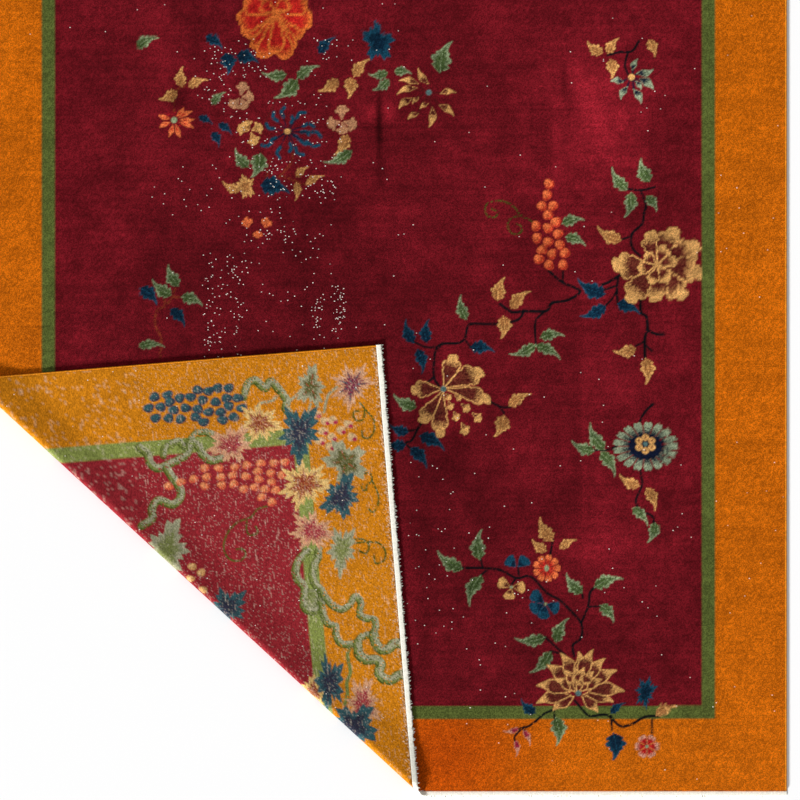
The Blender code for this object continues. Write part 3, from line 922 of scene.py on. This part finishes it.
def worn_share(chart):
    """The share of knots that have lost their pile: for each row of WORN, its count over its area, times
    the gain."""
    share = np.zeros_like(chart.grain)
    for left, top, right, bottom, count in WORN:
        patch, x, y = chart.near([(left, top), (right, bottom)], WORN_SOFT / 2)
        inset = np.minimum(np.minimum(x - left, right - x), np.minimum(y - top, bottom - y))
        area = (right - left) * (bottom - top)
        share[patch] += np.clip(0.5 + inset / WORN_SOFT, 0, 1) * WORN_GAIN * count / area
    return share * SPECK[0] * SPECK[1] / SQUARE**2


def dyes_with_painted_sheen(chart, field):
    """The pile's dyes, times e to the power of how light it looks, which holds its painted sheen and shade.
    """
    return np.clip(chart.dyes * np.exp(painted_sheen_and_tone(chart, field))[..., None], 0, 1)


def back_dyes(chart, field):
    """The back is paler than the pile, and its cotton shows in short dashes along the rows. At the very
    ends 0.6 of the knots are half cotton and 0.45 of them darkened to 0.45, which dies away over
    END_MIX."""
    dyes = chart.dyes ** np.array(BACK_FADE)
    wide = len(chart.x)
    flecks = np.zeros_like(field)
    for long, share, strength in DASHES:
        dash = np.repeat(RNG.random((len(chart.y), wide // long + 2)), long, 1)
        shift = RNG.integers(0, long, (len(chart.y), 1))
        dash = np.take_along_axis(dash, np.arange(wide) + shift, 1)
        flecks += (dash > share) * strength
    near_end = np.exp((np.abs(to_rug(0, chart.y)[1]) - LENGTH / 2) / END_MIX)[:, None]
    flecks += 0.5 * (chart.grain > 1 - 0.6 * near_end)
    dyes *= np.where(chart.grain < 0.45 * near_end, 0.45, 1.0)[..., None]
    dyes += np.clip(flecks, 0, 0.85)[..., None] * (linear("undyed") - dyes)
    shade = 0.34 * (RNG.random(chart.grain.shape) - 0.5) + 0.08 * mottle(chart, 40, 40)
    return np.clip(dyes * np.exp(shade)[..., None], 0, 1)


# ======== meshes ========


def new_piece(name, points, faces, dyes, material, worn=0.0):
    """A mesh object with one colour and one share of worn knots at each point, which rides on the rug. On
    the pile and the cords that colour holds painted sheen and shade besides the dye.
    """
    mesh = bpy.data.meshes.new(name)
    mesh.from_pydata(points.tolist(), [], faces.tolist())
    mesh.shade_smooth()
    colours = np.ones((len(points), 4), np.float32)
    colours[:, :3] = dyes
    mesh.color_attributes.new("dye", "FLOAT_COLOR", "POINT").data.foreach_set("color", colours.ravel())
    shares = np.broadcast_to(np.float32(worn), len(points))
    mesh.attributes.new("worn", "FLOAT", "POINT").data.foreach_set("value", np.ascontiguousarray(shares))
    mesh.materials.append(material)
    piece = bpy.data.objects.new(name, mesh)
    bpy.context.scene.collection.objects.link(piece)
    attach(piece, "root")
    return piece


def knotted_surface(name, steps, points, dyes, worn, facing_up, material):
    """A surface over the knots. steps holds, for each block, the knots that one face spans, and 0 leaves
    the block out."""
    cols = points.shape[1]
    faces = []
    for step in (NEAR_STEP, FAR_STEP, HIDDEN_STEP):
        per_block = BLOCK // step
        chosen = np.repeat(np.repeat(steps == step, per_block, 0), per_block, 1)
        row, col = np.nonzero(chosen)
        corner = row * step * cols + col * step
        ring_of = [corner, corner + step, corner + step * cols + step, corner + step * cols]
        faces.append(np.stack(ring_of if facing_up else ring_of[::-1], 1))
    faces = np.concatenate(faces)
    used, renumbered = np.unique(faces, return_inverse=True)
    places = points.reshape(-1, 3)[used]
    faces = renumbered.reshape(faces.shape)
    return new_piece(name, places, faces, dyes.reshape(-1, 3)[used], material, worn.ravel()[used])


def around_section(count):
    """The angles of the points of a closed section."""
    return 2 * np.pi * (np.arange(count) + 0.5) / count


def squared(ratio, power):
    """A cosine or sine, pushed toward 1 or -1 by a power under 1, which makes a round section squarer."""
    return np.sign(ratio) * np.abs(ratio) ** power


def tube_faces(stations, around):
    """Faces of a closed section carried along stations, with both ends left open."""
    start = np.arange(stations - 1)[:, None] * around
    turn = np.arange(around)
    after = (turn + 1) % around
    corners = [start + turn, start + after, start + around + after, start + around + turn]
    return np.stack(corners, -1).reshape(-1, 4)


CORD_TURNS, CORD_AROUND = 660, 8  # turns of yarn along a side, and points round the section
CORD_SLANT = 0.0012  # how far a turn of yarn leans, in metres


def side_cord(name, side, material):
    """A wrapped cord: a rounded section carried along the side and over the fold, with two stations to a
    turn of yarn. The section is 0.91 of its full size at the first and 1 at the second, give or take 0.025,
    and it leans, because the yarn is wound on a slant. The first, in the groove between two turns, is
    darker by e**-0.2: painted shade."""
    station = np.arange(2 * CORD_TURNS + 1)
    y = np.linspace(-LENGTH / 2, LENGTH / 2, len(station))
    swell = 0.91 + 0.09 * (station % 2) + RNG.uniform(-0.025, 0.025, len(station))
    angle = around_section(CORD_AROUND)
    across = squared(np.cos(angle), 0.7) * (CORD_WIDTH / 2 + TRIM)
    up = squared(np.sin(angle), 0.7) * THICK / 2
    x = side * (WIDTH / 2 - CORD_WIDTH / 2 - TRIM) + swell[:, None] * across
    h = THICK / 2 + swell[:, None] * up
    slant = CORD_SLANT * np.sin(angle)
    points = carry(x, y[:, None] + slant, h).reshape(-1, 3)
    # each turn's tone differs at random, and the grooves between turns are darkened as painted shade
    shade = np.exp(RNG.uniform(-0.14, 0.14, len(station)) - 0.2 * (station % 2 == 0))
    dyes = linear("cord") * shade[:, None, None] * np.ones((1, CORD_AROUND, 1))
    faces = tube_faces(len(station), CORD_AROUND)
    return new_piece(name, points, faces, dyes.reshape(-1, 3), material)


END_SHADE = 0.8  # how light the cut end is, next to the pile


def end_wall(name, end, chart, dyes, material):
    """The cut end of the knots between the pile and the back: a strip of four rows, ragged by up to a
    millimetre and darker than the pile."""
    count, levels = len(chart.x), 4
    x = np.linspace(-BODY.x, BODY.x, count)
    row = dyes[0 if end < 0 else -1]
    ragged = RNG.uniform(-0.0008, 0.0002, (levels, count))
    points = carry(x, end * (LENGTH / 2 + ragged), np.linspace(0, THICK, levels)[:, None])
    low = (np.arange(levels - 1)[:, None] * count + np.arange(count - 1)).ravel()
    loop = [low, low + 1, low + count + 1, low + count]
    faces = np.stack(loop if end < 0 else loop[::-1], 1)
    colour = np.broadcast_to(row * END_SHADE, (levels, count, 3)).reshape(-1, 3)
    return new_piece(name, points.reshape(-1, 3), faces, colour, material)


FRINGE_REACH = FRINGE[1].y - FRINGE[0].y
HEADING_STATIONS, HEADING_AROUND = 760, 8
HEADING_SHARE = 0.64  # how wide the heading is where it is narrowest, as a share of the fringe's reach
CLUMPS, CLUMP_RINGS, CLUMP_AROUND = 380, 4, 4
CLUMP_START = 0.52  # where the clumps start, as a share of the reach
CLUMP_LONG = (0.24, 0.58)  # their shortest and longest, as shares of the same
CLUMP_RADIUS = 0.0036
CLUMP_FLAT = 0.42  # a clump's height as a share of its width
CLUMP_SAG = 0.004  # how far the tips hang down where the fringe lies on the pile


def fringe_heading(end):
    """The woven heading: a flat rounded section with a ragged edge, carried across the rug."""
    wide = (HEADING_STATIONS, 1)
    ragged = 0.12 * RNG.random(wide) + 0.12 * np.repeat(RNG.random((HEADING_STATIONS // 2, 1)), 2, 0)
    x = np.linspace(-WIDTH / 2, WIDTH / 2, HEADING_STATIONS)[:, None]
    angle = around_section(HEADING_AROUND)
    thin = RNG.uniform(0.85, 1.0, wide)
    out = FRINGE_REACH * (HEADING_SHARE + ragged) / 2 * (1 + squared(np.cos(angle), 0.5))
    h = FRINGE_THICK / 2 * (1 + thin * squared(np.sin(angle), 0.5))
    points = carry(x, end * (LENGTH / 2 + out), h).reshape(-1, 3)
    return points, tube_faces(HEADING_STATIONS, HEADING_AROUND)


def fringe_clumps(end):
    """The clumps of yarn that hang from the heading. Each is a four-sided spike whose middle leans by
    lean * t and sinks by sag * t**2, t being 0 at the heading and 1 at the tip."""
    spread = WIDTH / 2 - 0.003
    root = np.linspace(-spread, spread, CLUMPS) + RNG.uniform(-0.001, 0.001, CLUMPS)
    long = FRINGE_REACH * RNG.uniform(*CLUMP_LONG, CLUMPS)
    lean = RNG.uniform(-0.004, 0.004, CLUMPS)
    t = np.linspace(0, 1, CLUMP_RINGS)[None, :, None]
    turn = around_section(CLUMP_AROUND)
    taper = np.array([1.0, 0.95, 0.8, 0.3])[None, :, None]
    fat = CLUMP_RADIUS * taper * RNG.uniform(0.8, 1.15, (CLUMPS, 1, 1))
    on_top = past_bend(root, np.full(CLUMPS, end * LENGTH / 2)) > BEND_LENGTH
    sag = np.where(on_top, CLUMP_SAG, 0.0)[:, None, None]
    x = (root[:, None, None] + lean[:, None, None] * t) + fat * np.cos(turn)
    y = end * (LENGTH / 2 + FRINGE_REACH * CLUMP_START + long[:, None, None] * t * np.ones(CLUMP_AROUND))
    h = FRINGE_THICK / 2 + sag * t**2 + CLUMP_FLAT * fat * np.sin(turn)
    tip = (CLUMP_RINGS - 1) * CLUMP_AROUND + np.arange(CLUMP_AROUND)
    one = np.concatenate([tube_faces(CLUMP_RINGS, CLUMP_AROUND), [tip]])
    faces = np.arange(CLUMPS)[:, None, None] * CLUMP_RINGS * CLUMP_AROUND + one
    return carry(x, y, h).reshape(-1, 3), faces.reshape(-1, 4)


def fringe(name, end, material):
    """Warp ends: the heading and its clumps, in one piece, each a little lighter or darker."""
    heading, heading_faces = fringe_heading(end)
    clumps, clump_faces = fringe_clumps(end)
    points = np.concatenate([heading, clumps])
    faces = np.concatenate([heading_faces, clump_faces + len(heading)])
    light = np.concatenate([
        np.repeat(RNG.uniform(0.92, 1.0, HEADING_STATIONS), HEADING_AROUND),
        np.repeat(RNG.uniform(0.92, 1.0, CLUMPS), CLUMP_RINGS * CLUMP_AROUND),
    ])
    if end < 0:
        faces = faces[:, ::-1]
    return new_piece(name, points, faces, linear("cream") * light[:, None], material)


# ======== materials ========


class Value:
    """A number that varies over a surface. Arithmetic on it adds Math nodes."""

    def __init__(self, finish, socket):
        self.finish, self.socket = finish, socket

    def _join(self, operation, first, second):
        node = self.finish.add("ShaderNodeMath", {"operation": operation}, [first, second])
        return Value(self.finish, node.outputs[0])

    def __add__(self, other):
        return self._join("ADD", self, other)

    def __sub__(self, other):
        return self._join("SUBTRACT", self, other)

    def __rsub__(self, other):
        return self._join("SUBTRACT", other, self)

    def __mul__(self, other):
        return self._join("MULTIPLY", self, other)

    def __gt__(self, other):
        return self._join("GREATER_THAN", self, other)

    __radd__, __rmul__ = __add__, __mul__


class Finish:
    """A material: its shader's constant sockets, and the nodes that feed the others."""

    def __init__(self, name, constants):
        self.material = bpy.data.materials.new(name)
        self.material.use_nodes = True
        self.tree = self.material.node_tree
        self.shader = self.tree.nodes["Principled BSDF"]
        for socket, value in constants.items():
            self.shader.inputs[socket].default_value = value

    def add(self, kind, settings=None, inputs=()):
        """A node with its settings, and its sockets' values or links, by number or by name."""
        node = self.tree.nodes.new(kind)
        for setting, value in (settings or {}).items():
            setattr(node, setting, value)
        values = inputs if isinstance(inputs, dict) else dict(enumerate(inputs))
        for socket, value in values.items():
            if isinstance(value, Value):
                value = value.socket
            if isinstance(value, bpy.types.NodeSocket):
                self.tree.links.new(value, node.inputs[socket])
            else:
                node.inputs[socket].default_value = value
        return node

    def noise(self, places, scale):
        """Smooth noise round 0.5, of so many waves to the metre."""
        node = self.add("ShaderNodeTexNoise", None, {"Vector": places, "Scale": scale, "Detail": 2.0})
        return Value(self, node.outputs["Fac"])

    def cells(self, places, size):
        """Three random numbers for each box of the given size across and along."""
        per_metre = (1 / size[0], 1 / size[1], 1 / size[1])
        scaled = self.add("ShaderNodeVectorMath", {"operation": "MULTIPLY"}, [places, per_metre])
        box = self.add("ShaderNodeVectorMath", {"operation": "FLOOR"}, [scaled.outputs[0]])
        random = self.add("ShaderNodeTexWhiteNoise", None, {"Vector": box.outputs[0]})
        parts = self.add("ShaderNodeSeparateXYZ", None, [random.outputs["Color"]])
        return [Value(self, part) for part in parts.outputs]

    def feed(self, socket, value):
        """Links a value to one of the shader's sockets."""
        self.tree.links.new(value.socket if isinstance(value, Value) else value, self.shader.inputs[socket])


def yarn(name, fibre, tuft, depth, rough, grain, knot=KNOT):
    """Wool or cotton: the colour at each knot, with bare cotton at worn knots, and a bump for the tufts. On
    the pile that colour holds painted sheen and crease shade, and on the cords painted groove shade.

    fibre and tuft are the noise scales, in waves to the metre, and depth is the bump's in metres. The
    colour is multiplied by 0.62 + 0.45 * fibres + 0.30 * tufts + grain * (a random number - 0.5), and a
    worn knot is 0.45 to 1 of cotton. The bump's height is fibres + 1.5 * tufts, so the multiplier lightens
    the raised tufts and darkens the hollows: partly painted shade, partly the fibres' uneven tone."""
    finish = Finish(name, {
        "Metallic": 0.0, "Specular IOR Level": 0.03, "Sheen Weight": 0.03, "Sheen Roughness": 0.4,
    })
    places = finish.add("ShaderNodeTexCoord").outputs["Object"]
    dye = finish.add("ShaderNodeAttribute", {"attribute_name": "dye"}).outputs["Color"]
    worn = Value(finish, finish.add("ShaderNodeAttribute", {"attribute_name": "worn"}).outputs["Fac"])
    fibres, tufts = finish.noise(places, fibre), finish.noise(places, tuft)
    # lighter where the bump rises and darker in its hollows: painted shade of the tufts, with the fibres'
    # uneven tone
    light = 0.62 + 0.45 * fibres + 0.30 * tufts + grain * (finish.cells(places, knot)[0] - 0.5)
    lit = finish.add("ShaderNodeVectorMath", {"operation": "SCALE"}, {0: dye, "Scale": light})
    chance, strength, _ = finish.cells(places, SPECK)
    bare = (worn > chance) * (0.45 + 0.55 * strength)
    cotton = (*linear("bare"), 1)
    mixed = finish.add("ShaderNodeMix", {"data_type": "RGBA"}, {0: bare, 6: lit.outputs[0], 7: cotton})
    finish.feed("Base Color", mixed.outputs[2])
    finish.feed("Roughness", rough + 0.12 * (fibres - 0.5))
    height = fibres + 1.5 * tufts
    bump = finish.add("ShaderNodeBump", None, {"Strength": 1.0, "Distance": depth, "Height": height})
    finish.feed("Normal", bump.outputs["Normal"])
    return finish.material


# ======== the rug ========

NEAR_BEND = 0.03  # how far beyond the bend's ends the mesh is still kept fine, in metres
CLEAR_OF_BEND = 0.01  # how far from the bend the pile under the flap starts to count as hidden
TUCKED = 0.045  # how far inside the flap's edges the pile under it counts as hidden
BACK_WORN = 0.0006  # share of worn knots on the back


def laid_over(x, y, margin):
    """Whether the flap lies over points of the floor side, at least a margin from its own edges."""
    flat_x, flat_y = laid_flat(x, y)
    return (flat_x > -WIDTH / 2 + margin) & (flat_y > -LENGTH / 2 + margin) & (past_bend(x, y) < 0)


def mesh_steps(x, y):
    """How fine the pile and the back are meshed at each block: finest where the photograph shows them,
    coarse inside the fold and under the rug."""
    s = past_bend(x, y)
    chart_x, chart_y = to_chart(x, y)
    covered = laid_over(x, y, TUCKED) & (s < -CLEAR_OF_BEND)
    seen = (chart_x > SEEN_LEFT) & (chart_x < SEEN_RIGHT) & (chart_y > SEEN_TOP) & (chart_y < SEEN_FOOT)
    pile = np.where(seen, NEAR_STEP, FAR_STEP)
    pile = np.where(covered | (s > BEND_LENGTH + NEAR_BEND), HIDDEN_STEP, pile)
    pile = np.where((s > -NEAR_BEND) & (s < BEND_LENGTH + NEAR_BEND), FAR_STEP, pile)
    top = carry(x, y, 0.0)
    top_x, top_y = to_chart(top[..., 0], top[..., 1])
    in_view = (top_x > SEEN_LEFT) & (top_y < SEEN_FOOT)
    back = np.where(s < -NEAR_BEND, HIDDEN_STEP, np.where(in_view, NEAR_STEP, FAR_STEP))
    return pile, back


def pile_bands(steps, points, dyes, worn, material):
    """The pile, cut into bands from near to far, with about as many faces in each."""
    faces_so_far = np.cumsum(((BLOCK // steps) ** 2).sum(1))
    bands = int(np.ceil(faces_so_far[-1] / BAND_FACES))
    band_of = np.minimum((faces_so_far - 1) * bands // faces_so_far[-1], bands - 1)
    for band in range(bands):
        chosen = np.where(band_of[:, None] == band, steps, 0)
        yield knotted_surface(f"pile_{band + 1}", chosen, points, dyes, worn, True, material)


def make_rug():
    """The pile and the back over one chart, then the side cords, the cut ends and the fringes."""
    x = np.linspace(-BODY.x, BODY.x, BLOCKS_ACROSS * BLOCK + 1)
    y = np.linspace(-LENGTH / 2, LENGTH / 2, BLOCKS_ALONG * BLOCK + 1)
    chart = Chart(to_chart(x, 0)[0], to_chart(0, y)[1])
    field = draw_ground(chart)
    draw_front(chart)
    draw_flap(chart)

    pile_wool = yarn("clipped_wool", 1500, 420, depth=0.0009, rough=0.88, grain=0.75)
    back_wool = yarn("knotted_back", 1100, 300, depth=0.0007, rough=0.9, grain=0.52, knot=BACK_KNOT)
    cord_wool = yarn("wrapping_wool", 1600, 500, depth=0.0004, rough=0.85, grain=0.4)
    cotton = yarn("cotton_warp", 1800, 600, depth=0.0004, rough=0.92, grain=0.15)

    grid_x, grid_y = np.meshgrid(x, y)
    single_knots = RNG.uniform(-UNEVEN, UNEVEN, grid_x.shape)
    pile_points = carry(grid_x, grid_y, THICK - TRIM + single_knots + PILE_SWELL * mottle(chart, 60, 80))
    back_points = carry(grid_x, grid_y, RNG.uniform(0.0, UNEVEN, grid_x.shape))
    middle = slice(BLOCK // 2, None, BLOCK)
    pile_steps, back_steps = mesh_steps(grid_x[middle, middle], grid_y[middle, middle])
    # the pile's colours hold its painted sheen, crease shade and flap shadow besides its dyes
    dyes, under, worn = dyes_with_painted_sheen(chart, field), back_dyes(chart, field), worn_share(chart)

    pieces = list(pile_bands(pile_steps, pile_points, dyes, worn, pile_wool))
    back_worn = np.full_like(worn, BACK_WORN)
    back = knotted_surface("rug_back", back_steps, back_points, under, back_worn, False, back_wool)
    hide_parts("rug_body")

    for name, side in (("side_cord_left", -1), ("side_cord_right", 1)):
        cord = side_cord("wrapped_" + name, side, cord_wool)
        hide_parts(name)
        pieces.append(cord)
    for which, end in (("near", -1), ("far", 1)):
        pieces.append(end_wall("pile_end_" + which, end, chart, dyes, pile_wool))
        warps = fringe("warp_fringe_" + which, end, cotton)
        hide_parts("fringe_" + which)
        pieces.append(warps)


# ======== floor, light and camera ========

FLOOR_HALF = 40.0
FLOOR_DROP = 0.0006  # keeps the floor and the back apart
SKY_STRENGTH = 0.36
LAMP_STRENGTH = 5.6
LAMP_WIDTH = np.radians(11)
LAMP_TILT, LAMP_TURN = np.radians(69), np.radians(-36)  # from straight down, and round the Z axis
VIEW_WIDTH = 2.667  # how much of the pile the picture spans
VIEW_HEIGHT = 5.5  # the camera's height


def make_floor():
    """A wide pale floor."""
    mesh = bpy.data.meshes.new("floor")
    corners = [(x * FLOOR_HALF, y * FLOOR_HALF, 0) for x, y in ((-1, -1), (1, -1), (1, 1), (-1, 1))]
    mesh.from_pydata(corners, [], [(0, 1, 2, 3)])
    floor = bpy.data.objects.new("floor", mesh)
    floor.location.z = -FLOOR_DROP
    bpy.context.scene.collection.objects.link(floor)
    finish = Finish("pale_floor", {"Base Color": (0.99, 0.99, 0.99, 1), "Roughness": 0.9})
    mesh.materials.append(finish.material)


def make_light():
    """Soft light from all round, and a low soft lamp from the lower left of the view."""
    world = bpy.data.worlds.new("studio")
    world.use_nodes = True
    sky = world.node_tree.nodes["Background"].inputs
    sky["Color"].default_value = (1, 1, 1, 1)
    sky["Strength"].default_value = SKY_STRENGTH
    bpy.context.scene.world = world
    lamp = bpy.data.lights.new("low_lamp", "SUN")
    lamp.energy = LAMP_STRENGTH
    lamp.angle = LAMP_WIDTH
    holder = bpy.data.objects.new("low_lamp", lamp)
    holder.rotation_euler = (LAMP_TILT, 0, LAMP_TURN)
    bpy.context.scene.collection.objects.link(holder)
    bpy.context.scene.view_settings.view_transform = "Standard"


def make_camera():
    """Straight above the middle of the picture, with +Y up in it."""
    camera = bpy.data.cameras.new("camera")
    camera.lens = camera.sensor_width * (VIEW_HEIGHT - THICK) / VIEW_WIDTH
    holder = bpy.data.objects.new("camera", camera)
    holder.location = (*to_rug(*PICTURE_MIDDLE), VIEW_HEIGHT)
    bpy.context.scene.collection.objects.link(holder)
    bpy.context.scene.camera = holder


make_rug()
make_floor()
make_light()
make_camera()
